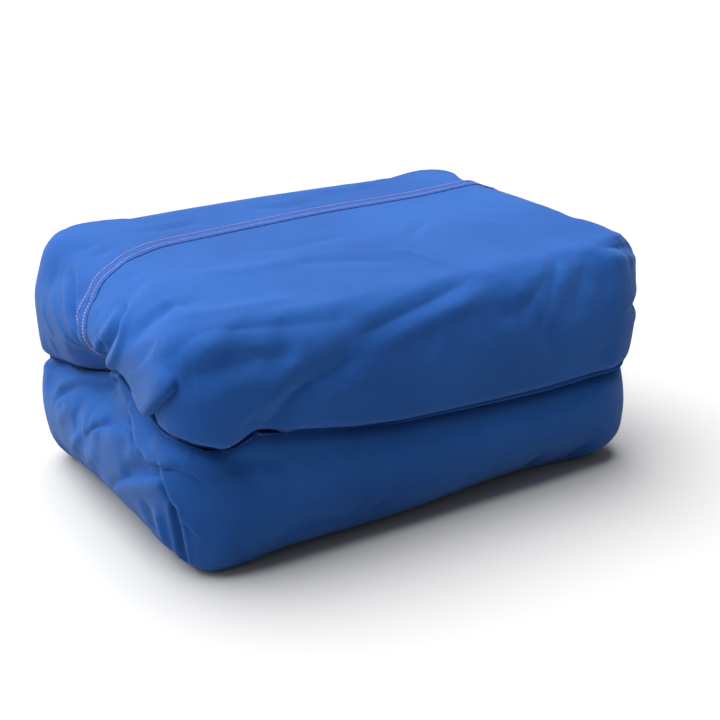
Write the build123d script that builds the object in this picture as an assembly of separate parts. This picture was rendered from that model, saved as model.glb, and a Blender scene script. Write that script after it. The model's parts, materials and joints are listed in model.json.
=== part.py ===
"""Infrared sauna blanket, packed away: folded in thirds along its length, then in half across its width.

Frame: millimetres, +Z up, +X along the packed bundle, +Y towards the fold that joins the two halves.
The origin is at the middle of the bundle's footprint, on the surface that it lies on.

The blanket is a bag of two padded sheets. Each half of the packed bundle holds three thicknesses of the bag,
so every layer is a strip that runs out, turns at the left end, comes back, turns at the right end and runs out again.
"""

from build123d import *
import os

# ---------------------------------------------------------------- driving dimensions
BUNDLE_LENGTH = 600.0            # X, a third of the 1.8 m blanket
BUNDLE_DEPTH = 420.0             # Y, half of the 0.84 m blanket
HALF_HEIGHT = 141.0              # Z, one folded half
FOLD_Y = 207.0                   # the crease that the upper half turns about
FOLD_Z = HALF_HEIGHT + 0.2       # halfway between the two halves
JOINT_CLEARANCE = 0.3            # between each half and the plane of the crease
FLANGE_PROUD = 3.0               # the inlet's flange and gasket stand out of the right end

SHELL = 1.2                      # outer cover cloth
SHEET = 18.0                     # one padded sheet of the bag
TURN_GAP = 2.5                   # air between neighbouring thicknesses of the bag
ROUND_ROOM = 12.0                # the cover is loose by this much round the ends and back of the stack
STACK_FRONT = -170.0             # the padding stops here, well behind the rolled front of the cover
LEFT_ROOM, RIGHT_ROOM = 26.0, 16.0   # and by this much past its turns at each end
BAG = 2 * SHEET
STACK = 3 * BAG + 2 * TURN_GAP
STACK_LOFT = (HALF_HEIGHT - STACK) / 2   # loose room above and below the stack
OUTER_END_ROOM = 42.0            # from the outermost thickness's end to the cover's right end

LEFT = -BUNDLE_LENGTH / 2
RIGHT = BUNDLE_LENGTH / 2 - FLANGE_PROUD
BACK = FOLD_Y - JOINT_CLEARANCE
FRONT = -BUNDLE_DEPTH / 2

# Each half: its extents, and which way its outer side faces
UPPER = dict(left=LEFT, right=RIGHT, front=FRONT, back=BACK, inner=FOLD_Z + 0.2, way=1)
LOWER = dict(left=LEFT + 6, right=RIGHT - 13, front=FRONT + 10, back=BACK, inner=FOLD_Z - 0.2, way=-1)

# Layers of one sheet, as distances from the bag's middle surface towards the sheet's outer face
CASING = (17.2, 18.0)            # non-woven scrim round the wadding
WADDING = (7.6, 17.0)            # polyester insulation
FOIL = (7.0, 7.4)                # reflector
PAD = (4.4, 6.8)                 # carbon-fibre heating pad
BUS = (4.6, 6.6)                 # flat supply ribbon beside the pads
FELT = (2.6, 4.2)                # moisture barrier felt
LINER = (1.4, 2.4)               # waterproof lining that the user lies in
TAPE = (0.1, 1.2)                # hook tape or loop tape at the bag's mouth side

PAD_HALF_WIDTH = 138.0
PAD_END = 10.0                   # from a pad's end to the start of a turn
BUS_LINES = (-150.0, 150.0)      # the two supply ribbons run beside the pads
BUS_WIDTH = 8.0
TAPE_FRONT, TAPE_WIDTH = -163.0, 25.0
CUTOUT_SIZE = (16.0, 12.0)       # X, Y; thickness runs over the wadding
CUTOUT_BAND = (6.6, 10.6)
SENSOR_SIZE = (8.0, 5.0)
POCKET_ROOM = 0.2

INLET_Y, INLET_Z = 118.0, 240.0  # on the right end of the upper half
FLANGE_Y, FLANGE_Z, FLANGE_T = 46.0, 26.0, 2.6
GASKET_T = 0.4
BODY_R = 10.5
BODY_END = 272.0                 # inner end of the inlet's body
MOUTH_R, MOUTH_DEPTH = 9.0, 6.0
SOCKET_R, SOCKET_DEPTH = 8.0, 18.0
CONTACT_R, CONTACT_RING, CONTACT_LENGTH = 1.0, 4.2, 11.0
NUT_R, NUT_T = 15.0, 4.0
SCREW_SPACING, SCREW_R, SCREW_HEAD_R, SCREW_LENGTH = 34.0, 1.5, 2.8, 8.0
LEAD_R, LEAD_BEND, LEAD_X = 1.6, 6.0, 263.0

SEAM_Y = 72.0                    # the long panel seam on the upper half
LAP_WIDTH, LAP_T = 26.0, 0.8
THREAD_LINES = (SEAM_Y + 8, SEAM_Y + 22)
THREAD_WIDTH, THREAD_T = 1.0, 0.4
SEAM_LEFT, SEAM_RIGHT = -235.0, 262.0

SPINE_T = 2.6
SPINE_LOW, SPINE_HIGH, SPINE_HALF_LENGTH = 26.0, 256.0, 262.0


# ---------------------------------------------------------------- helpers
def rounded_prism(corners, radii, direction):
    """A closed outline with a radius at each corner, extruded along direction."""
    outline = FilletPolyline(*corners, radius=radii, close=True)
    face = Face(Wire(outline.edges()))
    return Solid.extrude(face, Vector(*direction))


def pillow(half, inset=0.0):
    """The puffed outer form of one half: the meeting of its plan, its side profile and its end profile."""
    left, right = half["left"] + inset, half["right"] - inset
    front, back = half["front"] + inset, half["back"] - inset
    inner = half["inner"] + half["way"] * inset
    outer = half["inner"] + half["way"] * (HALF_HEIGHT - inset)
    low, high = min(inner, outer), max(inner, outer)

    def radii(*full):
        return [r - inset for r in full]

    plan = rounded_prism(
        [(left, front, low), (right, front, low), (right, back, low), (left, back, low)],
        radii(66, 50, 45, 55),
        (0, 0, high - low),
    )
    side = rounded_prism(
        [(left, front, inner), (left, back, inner), (left, back, outer), (left, front, outer)],
        radii(42, 14, 46, 52),
        (right - left, 0, 0),
    )
    end = rounded_prism(
        [(left, front, inner), (right, front, inner), (right, front, outer), (left, front, outer)],
        radii(48, 38, 24, 60),
        (0, back - front, 0),
    )
    return plan & side & end


def loose_form(half):
    """The space that the stack keeps to: well inside the cover at the sides, close to it above and below."""
    snug = SHELL + 1
    room = ROUND_ROOM
    narrowed = dict(
        half,
        left=half["left"] + room - snug,
        right=half["right"] - room + snug,
        front=STACK_FRONT - snug,
        back=half["back"] - room + snug,
    )
    return pillow(narrowed, snug)


def turn_layout(half):
    """Heights of the bag's three thicknesses, and the turns between them, in the XZ plane."""
    way = half["way"]
    pitch = BAG + TURN_GAP
    inner = half["inner"] + way * (STACK_LOFT + SHEET)
    first, middle, last = (inner + way * pitch * k for k in range(3))
    left_radius, right_radius = pitch, pitch / 2
    return dict(
        way=way,
        first=first,
        middle=middle,
        last=last,
        left_radius=left_radius,
        right_radius=right_radius,
        left_x=half["left"] + LEFT_ROOM + left_radius + SHEET,
        right_x=half["right"] - RIGHT_ROOM - right_radius - SHEET,
        outer_end=half["right"] - OUTER_END_ROOM,
    )


def turned_strip(half, low, high, y_from, y_to):
    """One layer of the folded bag, between two distances from its middle surface, extruded along Y."""
    t = turn_layout(half)
    way = t["way"]
    middle_end = t["left_x"] + 3

    def at(x, z):
        return Vector(x, y_from, z)

    def left_turn(offset, start, end):
        centre = (t["first"] + t["last"]) / 2
        radius = t["left_radius"] + offset
        return ThreePointArc(at(t["left_x"], start), at(t["left_x"] - radius, centre), at(t["left_x"], end))

    def right_turn(offset, start, end):
        centre = (t["first"] + t["middle"]) / 2
        radius = t["right_radius"] + offset
        return ThreePointArc(at(t["right_x"], start), at(t["right_x"] + radius, centre), at(t["right_x"], end))

    def level(name, offset):
        side = -way if name == "first" else way
        return t[name] + side * offset

    def run(x_from, x_to, z):
        return Line(at(x_from, z), at(x_to, z))

    edges = [
        run(t["outer_end"], t["left_x"], level("last", high)),
        left_turn(high, level("last", high), level("first", high)),
        run(t["left_x"], t["right_x"], level("first", high)),
        right_turn(high, level("first", high), level("middle", high)),
        run(t["right_x"], middle_end, level("middle", high)),
        Line(at(middle_end, level("middle", high)), at(middle_end, level("middle", low))),
        run(middle_end, t["right_x"], level("middle", low)),
        right_turn(low, level("middle", low), level("first", low)),
        run(t["right_x"], t["left_x"], level("first", low)),
        left_turn(low, level("first", low), level("last", low)),
        run(t["left_x"], t["outer_end"], level("last", low)),
        Line(at(t["outer_end"], level("last", low)), at(t["outer_end"], level("last", high))),
    ]
    return Solid.extrude(Face(Wire(edges)), Vector(0, y_to - y_from, 0))


def sheet_bands(band):
    """The same layer in both sheets of the bag, mirrored about its middle surface."""
    return [band, (-band[1], -band[0])]


def block(x_range, y_range, z_range):
    """A box between three pairs of limits, given in either order."""
    lows = [min(r) for r in (x_range, y_range, z_range)]
    highs = [max(r) for r in (x_range, y_range, z_range)]
    size = [b - a for a, b in zip(lows, highs)]
    return Solid.make_box(*size, Plane(origin=lows))


def rod_x(x_from, x_to, radius, y=INLET_Y, z=INLET_Z):
    """A round bar along X."""
    return Solid.make_cylinder(radius, x_to - x_from, Plane(origin=(x_from, y, z), z_dir=(1, 0, 0)))


def ring_x(x_from, x_to, outer, bore):
    return rod_x(x_from, x_to, outer) - rod_x(x_from - 1, x_to + 1, bore)


def solids_of(*shapes):
    """Every solid of these shapes, in one flat list."""
    return [s for shape in shapes for s in shape.solids()]


# ---------------------------------------------------------------- the folded layers of one half
def full_width(half, band):
    """A layer that fills the bag from side to side, trimmed to the loose inside of the puffed form."""
    form = loose_form(half)
    return turned_strip(half, *band, half["front"], half["back"]) & form


def pad_spans(half):
    """X range and height of each flat run that carries a heating pad."""
    t = turn_layout(half)
    return [
        ((t["left_x"] + PAD_END, t["outer_end"] - PAD_END), t["last"], half["way"]),
        ((t["left_x"] + PAD_END, t["right_x"] - PAD_END), t["first"], -half["way"]),
        ((t["left_x"] + 3 + PAD_END, t["right_x"] - PAD_END), t["middle"], half["way"]),
    ]


def device_box(half, size, band, y_centre, room=0.0):
    """A small part on the outermost run's outer sheet, in the middle of the bundle's length."""
    height, side = turn_layout(half)["last"], half["way"]
    half_x, half_y = size[0] / 2 + room, size[1] / 2 + room
    return block(
        (-half_x, half_x),
        (y_centre - half_y, y_centre + half_y),
        (height + side * (band[0] - room), height + side * (band[1] + room)),
    )


def thermal_cutout(half, room=0.0):
    return device_box(half, CUTOUT_SIZE, CUTOUT_BAND, BUS_LINES[1], room)


def temperature_sensor(half, room=0.0):
    return device_box(half, SENSOR_SIZE, PAD, 0.0, room)


def heating_pads(half, band):
    """Three pads, one on each flat run, with a tab to the supply ribbon at each side."""
    pads = []
    for (x_from, x_to), height, side in pad_spans(half):
        z_range = (height + side * band[0], height + side * band[1])
        pad = block((x_from, x_to), (-PAD_HALF_WIDTH, PAD_HALF_WIDTH), z_range)
        tab_x = (x_from + 20, x_from + 36)
        for line in BUS_LINES:
            toward = 1 if line > 0 else -1
            tab_y = (toward * (PAD_HALF_WIDTH - 1), line - toward * BUS_WIDTH / 2)
            pad = pad + block(tab_x, tab_y, z_range)
        pads += solids_of(pad - temperature_sensor(half, POCKET_ROOM))
    return pads


def supply_ribbons(half):
    return [
        turned_strip(half, *band, line - BUS_WIDTH / 2, line + BUS_WIDTH / 2)
        for band in sheet_bands(BUS)
        for line in BUS_LINES
    ]


def fastening_tape(half, band):
    """Hook or loop tape along the open long side of the bag."""
    return turned_strip(half, *band, TAPE_FRONT, TAPE_FRONT + TAPE_WIDTH) & loose_form(half)


def folded_layers(half, name):
    """Every layer of one half, by node name."""
    outer_bands = {"casing": CASING, "wadding": WADDING, "foil": FOIL, "pad": PAD, "felt": FELT, "liner": LINER}
    inner_bands = {layer: (-high, -low) for layer, (low, high) in outer_bands.items()}
    cutout_pocket = thermal_cutout(half, POCKET_ROOM)
    return {
        f"outer_sheet_wadding_{name}": full_width(half, outer_bands["wadding"]) - cutout_pocket,
        f"inner_sheet_wadding_{name}": full_width(half, inner_bands["wadding"]),
        f"wadding_casing_{name}": solids_of(*(full_width(half, b) for b in sheet_bands(CASING))),
        f"outer_reflector_foil_{name}": full_width(half, outer_bands["foil"]) - cutout_pocket,
        f"inner_reflector_foil_{name}": full_width(half, inner_bands["foil"]),
        f"outer_heating_pads_{name}": heating_pads(half, outer_bands["pad"]),
        f"inner_heating_pads_{name}": heating_pads(half, inner_bands["pad"]),
        f"supply_ribbons_{name}": supply_ribbons(half),
        f"moisture_felt_{name}": solids_of(*(full_width(half, b) for b in sheet_bands(FELT))),
        f"waterproof_liner_{name}": solids_of(*(full_width(half, b) for b in sheet_bands(LINER))),
        f"thermal_cutout_{name}": thermal_cutout(half),
        f"temperature_sensor_{name}": temperature_sensor(half),
    }


# ---------------------------------------------------------------- covers, seam and fold
def outer_cover(half):
    """The cover cloth of one half, a closed shell with the stack inside it."""
    return pillow(half) - pillow(half, SHELL)


def seam_lap():
    """The rear panel's edge, lapped over the front panel along the long seam."""
    top = FOLD_Z + 0.2 + HALF_HEIGHT
    return block((SEAM_LEFT, SEAM_RIGHT), (SEAM_Y, SEAM_Y + LAP_WIDTH), (top, top + LAP_T))


def seam_threads():
    """The two rows of topstitching on the lap."""
    top = FOLD_Z + 0.2 + HALF_HEIGHT + LAP_T
    return [
        block((SEAM_LEFT + 2, SEAM_RIGHT - 2), (y - THREAD_WIDTH / 2, y + THREAD_WIDTH / 2), (top, top + THREAD_T))
        for y in THREAD_LINES
    ]


def spine_panel():
    """The cover cloth that runs round the fold and joins the two halves."""
    corners = [
        (-SPINE_HALF_LENGTH, FOLD_Y + 0.4, SPINE_LOW),
        (SPINE_HALF_LENGTH, FOLD_Y + 0.4, SPINE_LOW),
        (SPINE_HALF_LENGTH, FOLD_Y + 0.4, SPINE_HIGH),
        (-SPINE_HALF_LENGTH, FOLD_Y + 0.4, SPINE_HIGH),
    ]
    return rounded_prism(corners, [20] * 4, (0, SPINE_T, 0))


# ---------------------------------------------------------------- the power inlet
FACE = RIGHT                       # outer face of the cover at the right end
FLANGE_BACK = FACE + GASKET_T
FLANGE_FACE = FLANGE_BACK + FLANGE_T


def flange_outline(x_from, x_to):
    half_y, half_z = FLANGE_Y / 2, FLANGE_Z / 2
    corners = [
        (x_from, INLET_Y - half_y, INLET_Z - half_z),
        (x_from, INLET_Y + half_y, INLET_Z - half_z),
        (x_from, INLET_Y + half_y, INLET_Z + half_z),
        (x_from, INLET_Y - half_y, INLET_Z + half_z),
    ]
    return rounded_prism(corners, [9] * 4, (x_to - x_from, 0, 0))


def screw_places():
    return [INLET_Y - SCREW_SPACING / 2, INLET_Y + SCREW_SPACING / 2]


def screw_hole(y, radius):
    return rod_x(FACE - 20, FLANGE_FACE + 1, radius, y=y)


def countersink(y, room=0.0):
    return Solid.make_cone(
        SCREW_R + room,
        SCREW_HEAD_R + room,
        SCREW_HEAD_R - SCREW_R,
        Plane(origin=(FLANGE_FACE - (SCREW_HEAD_R - SCREW_R), y, INLET_Z), z_dir=(1, 0, 0)),
    )


def inlet_housing():
    """The socket's body and its flange, one moulding, with a stepped socket bore."""
    body = flange_outline(FLANGE_BACK, FLANGE_FACE) + rod_x(BODY_END, FLANGE_BACK + 1, BODY_R)
    body = body - rod_x(FLANGE_FACE - MOUTH_DEPTH, FLANGE_FACE + 1, MOUTH_R)
    body = body - rod_x(FLANGE_FACE - SOCKET_DEPTH, FLANGE_FACE + 1, SOCKET_R)
    for y in screw_places():
        body = body - screw_hole(y, SCREW_R + 0.1) - countersink(y, 0.05)
    return body


def inlet_contacts():
    """Three contact pins standing on the socket's floor."""
    floor = FLANGE_FACE - SOCKET_DEPTH
    centre = Vector(0, INLET_Y, INLET_Z)
    places = [centre + Vector(0, 0, CONTACT_RING).rotate(Axis.X, 120 * k) for k in range(3)]
    return [rod_x(floor, floor + CONTACT_LENGTH, CONTACT_R, y=p.Y, z=p.Z) for p in places]


def inlet_gasket():
    gasket = flange_outline(FACE, FLANGE_BACK) - rod_x(FACE - 1, FLANGE_BACK + 1, BODY_R + 0.1)
    for y in screw_places():
        gasket = gasket - screw_hole(y, SCREW_R + 0.1)
    return gasket


def inlet_nut():
    """The retaining nut on the inside of the cover."""
    inside = FACE - SHELL
    return ring_x(inside - NUT_T, inside, NUT_R, BODY_R + 0.05)


def inlet_backing_plate():
    """The tapped plate that the two flange screws pull against."""
    inside = FACE - SHELL
    plate = block((inside - 1.5, inside), (INLET_Y - 22, INLET_Y + 22), (INLET_Z - 11, INLET_Z + 11))
    plate = plate - rod_x(inside - 3, inside + 1, NUT_R + 0.2)
    for y in screw_places():
        plate = plate - screw_hole(y, SCREW_R + 0.05)
    return solids_of(plate)


def inlet_screws():
    return [
        rod_x(FLANGE_FACE - SCREW_LENGTH, FLANGE_FACE - (SCREW_HEAD_R - SCREW_R), SCREW_R, y=y) + countersink(y)
        for y in screw_places()
    ]


def cover_with_inlet(cover):
    """Cuts the inlet's hole and its two screw holes in the cover."""
    cut = cover - rod_x(FACE - 10, FACE + 5, BODY_R + 0.3)
    for y in screw_places():
        cut = cut - rod_x(FACE - 10, FACE + 5, SCREW_R + 0.2, y=y)
    return cut


def inlet_leads():
    """Two leads from the inlet's inner end to the supply ribbons, held behind the cover's right end."""
    t = turn_layout(UPPER)
    z_ribbon = t["last"] + (BUS[0] + BUS[1]) / 2
    leads = []
    for line, y_out in zip(BUS_LINES, (INLET_Y - 4, INLET_Y + 4)):
        path = FilletPolyline(
            (BODY_END - 0.05, y_out, INLET_Z),
            (LEAD_X, y_out, INLET_Z),
            (LEAD_X, line, z_ribbon),
            (t["outer_end"] + 0.05, line, z_ribbon),
            radius=[LEAD_BEND, LEAD_BEND],
        )
        start = Plane(origin=path @ 0, z_dir=path % 0)
        leads += solids_of(sweep(start * Circle(LEAD_R), path=path))
        print(f"inlet lead to y {line:g}: {path.length:.1f} mm long, bends of {LEAD_BEND:g} mm")
    return leads


# ---------------------------------------------------------------- all nodes
def all_nodes():
    nodes = {
        "outer_cover_upper": cover_with_inlet(outer_cover(UPPER)),
        "outer_cover_lower": outer_cover(LOWER),
        "spine_panel": spine_panel(),
        "seam_lap": seam_lap(),
        "seam_topstitching": seam_threads(),
        "inlet_housing": inlet_housing(),
        "inlet_contacts": inlet_contacts(),
        "inlet_gasket": inlet_gasket(),
        "inlet_nut": inlet_nut(),
        "inlet_screws": inlet_screws(),
        "inlet_backing_plates": inlet_backing_plate(),
        "inlet_leads": inlet_leads(),
        "hook_tape": fastening_tape(UPPER, TAPE),
        "loop_tape": fastening_tape(UPPER, (-TAPE[1], -TAPE[0])),
    }
    nodes.update(folded_layers(UPPER, "upper"))
    nodes.update(folded_layers(LOWER, "lower"))
    return nodes


os.makedirs("parts", exist_ok=True)
for node, shape in all_nodes().items():
    pieces = shape if isinstance(shape, list) else solids_of(shape)
    whole = pieces[0] if len(pieces) == 1 else Compound(children=pieces)
    export_step(whole, f"parts/{node}.step")
    print(f"{node}: {len(pieces)} solid(s), {sum(p.volume for p in pieces) / 1000:.1f} cm3")
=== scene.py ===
import json
import math

import bpy
import numpy as np
from mathutils import Matrix, Vector
from mathutils.bvhtree import BVHTree


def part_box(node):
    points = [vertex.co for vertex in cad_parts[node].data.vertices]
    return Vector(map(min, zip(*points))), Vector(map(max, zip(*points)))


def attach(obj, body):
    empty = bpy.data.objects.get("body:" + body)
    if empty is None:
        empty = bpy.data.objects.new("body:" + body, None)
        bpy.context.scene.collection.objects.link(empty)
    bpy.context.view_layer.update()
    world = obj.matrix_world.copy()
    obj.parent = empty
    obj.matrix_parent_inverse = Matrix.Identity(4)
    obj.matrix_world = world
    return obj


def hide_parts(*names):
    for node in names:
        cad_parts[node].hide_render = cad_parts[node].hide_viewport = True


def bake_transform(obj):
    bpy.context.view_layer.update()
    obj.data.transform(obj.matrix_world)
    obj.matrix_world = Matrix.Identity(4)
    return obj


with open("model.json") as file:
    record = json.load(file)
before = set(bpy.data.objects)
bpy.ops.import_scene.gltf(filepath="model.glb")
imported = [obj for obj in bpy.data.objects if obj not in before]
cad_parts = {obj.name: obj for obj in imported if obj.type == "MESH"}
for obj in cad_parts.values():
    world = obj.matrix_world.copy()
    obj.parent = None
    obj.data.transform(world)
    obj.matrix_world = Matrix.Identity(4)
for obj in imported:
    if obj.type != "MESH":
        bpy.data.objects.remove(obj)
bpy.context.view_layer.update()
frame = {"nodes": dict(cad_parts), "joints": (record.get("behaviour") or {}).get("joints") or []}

# ------------------------------------------------------------------ places, in metres, from the frame
UPPER_LOW, UPPER_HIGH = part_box("outer_cover_upper")
LOWER_LOW, LOWER_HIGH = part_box("outer_cover_lower")
HINGE = Vector(frame["joints"][0]["pos_m"])
MM = 0.001

REMESH = 5.5 * MM           # voxel size of a cover before it is inflated
INFLATE_FRAMES = 20
INFLATE_PRESSURE = 4.0
CLOTH_SLACK = 0.03          # share by which the cloth is cut larger than the block it starts from
REST_GAP = 0.4 * MM         # the two covers stay this far off the surface where they meet
RIM_HEIGHT = 15 * MM        # the cloth turns in over this height above and below that surface
RIM_DEPTH = 19 * MM
PRESSED = 16 * MM           # how far each half would reach past the other if they did not press together
BACK_CLEARANCE = 2.4 * MM   # the backs of the halves stand this far in front of the hinge line
BACK_EASING = 5 * MM        # and ease into that plane over this depth
INLET_HOLE_RADIUS = 10.7 * MM
SEAT_MARGIN = 3 * MM        # the cloth lies flat this far round the inlet's gasket
SEAT_REACH = 40 * MM        # and slopes out again over this distance
SEAT_SLOPE = 0.45
FLOOR_CLEARANCE = 0.3 * MM


# ------------------------------------------------------------------ small modelling helpers
def only(piece):
    """Makes piece the one selected and active object."""
    bpy.ops.object.select_all(action="DESELECT")
    piece.select_set(True)
    bpy.context.view_layer.objects.active = piece


def points_of(piece):
    co = np.empty(len(piece.data.vertices) * 3)
    piece.data.vertices.foreach_get("co", co)
    return co.reshape(-1, 3)


def normals_of(piece):
    n = np.empty(len(piece.data.vertices) * 3)
    piece.data.vertices.foreach_get("normal", n)
    return n.reshape(-1, 3)


def move_points(piece, points):
    piece.data.vertices.foreach_set("co", points.ravel())
    piece.data.update()


def smoothstep(value, low, high):
    """Goes smoothly from 0 at low to 1 at high."""
    t = np.clip((value - low) / (high - low), 0, 1)
    return t * t * (3 - 2 * t)


def apply_modifier(piece, kind, **settings):
    only(piece)
    modifier = piece.modifiers.new(kind.title(), kind)
    for key, value in settings.items():
        setattr(modifier, key, value)
    bpy.ops.object.modifier_apply(modifier=modifier.name)


def bevel_edges(piece, chosen, width, segments):
    """Bevels the edges whose two ends satisfy chosen(a, b)."""
    only(piece)
    bpy.ops.object.mode_set(mode="EDIT")
    bpy.ops.mesh.select_mode(type="EDGE")
    bpy.ops.mesh.select_all(action="DESELECT")
    bpy.ops.object.mode_set(mode="OBJECT")
    verts = piece.data.vertices
    for edge in piece.data.edges:
        a, b = (verts[i].co for i in edge.vertices)
        edge.select = chosen(a, b)
    bpy.ops.object.mode_set(mode="EDIT")
    bpy.ops.mesh.bevel(offset=width, segments=segments, profile=0.5, affect="EDGES")
    bpy.ops.object.mode_set(mode="OBJECT")


def stuffed_block(name, low, high, corner, top_edge, bottom_edge):
    """A block between two corners, rounded at its upright edges and round its top and bottom outlines."""
    bpy.ops.object.select_all(action="DESELECT")
    centre = [(a + b) / 2 for a, b in zip(low, high)]
    bpy.ops.mesh.primitive_cube_add(size=1, location=centre)
    piece = bpy.context.object
    piece.name = name
    piece.data.name = name
    bpy.ops.transform.resize(value=[b - a for a, b in zip(low, high)])
    bpy.ops.object.transform_apply(location=True, rotation=True, scale=True)
    bevel_edges(piece, lambda a, b: abs(a.z - b.z) > 0.5 * (high[2] - low[2]), corner, 6)
    bevel_edges(piece, lambda a, b: min(a.z, b.z) > high[2] - 1e-4, top_edge, 6)
    bevel_edges(piece, lambda a, b: max(a.z, b.z) < low[2] + 1e-4, bottom_edge, 6)
    return piece


# ------------------------------------------------------------------ soft shaping, as with a sculpting brush
def smooth_path(points, spacing=2.5 * MM):
    """A smooth line through a few points in millimetres, with each sample's share of the way along it."""
    knots = np.array([[c * MM for c in point] for point in points])
    padded = np.vstack([2 * knots[0] - knots[1], knots, 2 * knots[-1] - knots[-2]])
    line = []
    for a, b, c, d in zip(padded, padded[1:], padded[2:], padded[3:]):
        count = max(2, int(np.linalg.norm(c - b) / spacing))
        t = np.linspace(0, 1, count, endpoint=False)[:, None]
        square, cube = 2 * a - 5 * b + 4 * c - d, 3 * b - a - 3 * c + d
        line.append(0.5 * (2 * b + (c - a) * t + square * t**2 + cube * t**3))
    line = np.vstack(line + [knots[-1:]])
    length = np.concatenate([[0], np.cumsum(np.linalg.norm(np.diff(line, axis=0), axis=1))])
    return line, length / length[-1]


def surface_of(piece):
    """The piece's surface as it is now, for finding places on it."""
    polygons = [polygon.vertices[:] for polygon in piece.data.polygons]
    return BVHTree.FromPolygons([vertex.co[:] for vertex in piece.data.vertices], polygons)


def laid_on(surface, line):
    """The same line, brought onto the nearest places of a surface."""
    found = [surface.find_nearest(p)[0] for p in line]
    return np.array([place[:] for place in found])


def along(piece_points, path, reach, skin):
    """For the points within reach of a path in millimetres, laid on the skin: their indices, distances
    from it, shares of the way along it, offsets from it and its directions there."""
    line, share = smooth_path(path)
    line = laid_on(skin, line)
    near = np.all((piece_points > line.min(0) - reach) & (piece_points < line.max(0) + reach), axis=1)
    index = np.nonzero(near)[0]
    best = np.full(len(index), np.inf)
    where = np.zeros(len(index), int)
    for k, p in enumerate(line):
        d = np.sum((piece_points[index] - p) ** 2, axis=1)
        closer = d < best
        best[closer] = d[closer]
        where[closer] = k
    distance = np.sqrt(best)
    keep = distance < reach
    tangent = np.gradient(line, axis=0)
    index, where, distance = index[keep], where[keep], distance[keep]
    return index, distance, share[where], piece_points[index] - line[where], tangent[where]


def taper(share, start, end):
    """Full strength in the middle of a stroke, fading over its first and last shares."""
    return smoothstep(share, 0, start) * (1 - smoothstep(share, 1 - end, 1))


def grab(piece, centre, radius, move):
    """Drags everything within radius of centre, most at the middle."""
    points = points_of(piece)
    d = np.linalg.norm((points - np.array(centre)) / np.array(radius), axis=1)
    weight = np.clip(1 - d**2, 0, 1) ** 2
    move_points(piece, points + weight[:, None] * np.array(move))


def furrow(piece, skin, path, width, depth, start=0.3, end=0.3, shoulder=0.25, sharp=1.3):
    """Presses a crease into the cloth along path, and lifts a soft shoulder each side of it."""
    points, normals = points_of(piece), normals_of(piece)
    width, depth = width * MM, depth * MM
    index, distance, share, _, _ = along(points, path, 4 * width, skin)
    strength = taper(share, start, end) * depth
    d = distance / width
    profile = -np.exp(-d**sharp) + shoulder * np.exp(-((d - 2.0) ** 2) / 0.8)
    points[index] += normals[index] * (strength * profile)[:, None]
    move_points(piece, points)


def ridge(piece, skin, path, width, height, start=0.3, end=0.3):
    """Raises a soft roll of cloth along path."""
    points, normals = points_of(piece), normals_of(piece)
    width, height = width * MM, height * MM
    index, distance, share, _, _ = along(points, path, 3.5 * width, skin)
    lift = taper(share, start, end) * height * np.exp(-((distance / width) ** 2))
    points[index] += normals[index] * lift[:, None]
    move_points(piece, points)


def tuck(piece, skin, path, width, height, start=0.2, end=0.2, overhang=0.6, swap=False):
    """An overlap: the cloth on one side of path stands up and leans over the other side, which dips.
    The high side is on the left of the path, seen from outside, or on the right with swap."""
    points, normals = points_of(piece), normals_of(piece)
    width, height = width * MM, height * MM
    index, distance, share, offset, tangent = along(points, path, 5 * width, skin)
    n = normals[index]
    left = np.cross(n, tangent)
    left /= np.maximum(np.linalg.norm(left, axis=1, keepdims=True), 1e-12)
    if swap:
        left = -left
    side = np.sum(offset * left, axis=1) / width
    strength = taper(share, start, end) * height
    step = 0.5 + 0.5 * np.tanh(side / 0.45)
    rise = step * np.exp(-np.abs(side) / 1.8) - 0.8 * (1 - step) * np.exp(-np.abs(side) / 0.9)
    points[index] += n * (strength * rise)[:, None]
    lean = np.exp(-((side - 0.3) ** 2) / 0.5)
    points[index] -= left * (strength * overhang * lean)[:, None]
    move_points(piece, points)


def relax(piece, factor, repeat):
    """Takes the sharpness out of the creases."""
    apply_modifier(piece, "SMOOTH", factor=factor, iterations=repeat)


# ------------------------------------------------------------------ the stuffed covers
def inflate(piece, swell, draw_in):
    """Blows the cover up as cloth. Each point moves out by at most swell, and in by at most draw_in."""
    start, normals = points_of(piece), normals_of(piece)
    only(piece)
    cloth = piece.modifiers.new("Cloth", "CLOTH")
    settings = cloth.settings
    settings.quality = 5
    settings.mass = 0.3
    settings.tension_stiffness = 12
    settings.compression_stiffness = 12
    settings.shear_stiffness = 5
    settings.bending_stiffness = 0.4
    settings.use_pressure = True
    settings.uniform_pressure_force = INFLATE_PRESSURE
    settings.shrink_min = -CLOTH_SLACK
    settings.effector_weights.gravity = 0
    cloth.collision_settings.use_collision = False
    cloth.point_cache.frame_start = 1
    cloth.point_cache.frame_end = INFLATE_FRAMES
    for number in range(1, INFLATE_FRAMES + 1):
        bpy.context.scene.frame_set(number)
    only(piece)
    bpy.ops.object.modifier_apply(modifier=cloth.name)
    bpy.context.scene.frame_set(1)
    blown = points_of(piece)
    step = blown - start
    length = np.maximum(np.linalg.norm(step, axis=1), 1e-9)
    outward = np.sum(step * normals, axis=1) / length
    limit = draw_in + (swell - draw_in) * smoothstep(outward, -0.5, 0.5)
    eased = limit * np.tanh(length / limit)
    move_points(piece, start + step * (eased / length)[:, None])


# How far the line between the halves stands above the hinge's height, in millimetres:
# round the left end, by y in metres, and along the front, by x
LEFT_CREASE = {
    -0.21: 16, -0.16: 19, -0.12: 26, -0.085: 40, -0.055: 53,
    -0.02: 40, 0.03: 22, 0.10: 2, 0.17: -8,
}
FRONT_CREASE = {
    -0.30: 18, -0.26: 5, -0.24: 4, -0.214: 18, -0.19: 10,
    -0.10: -8, -0.04: -15, 0.09: -21, 0.16: -23, 0.28: -20,
}


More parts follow.
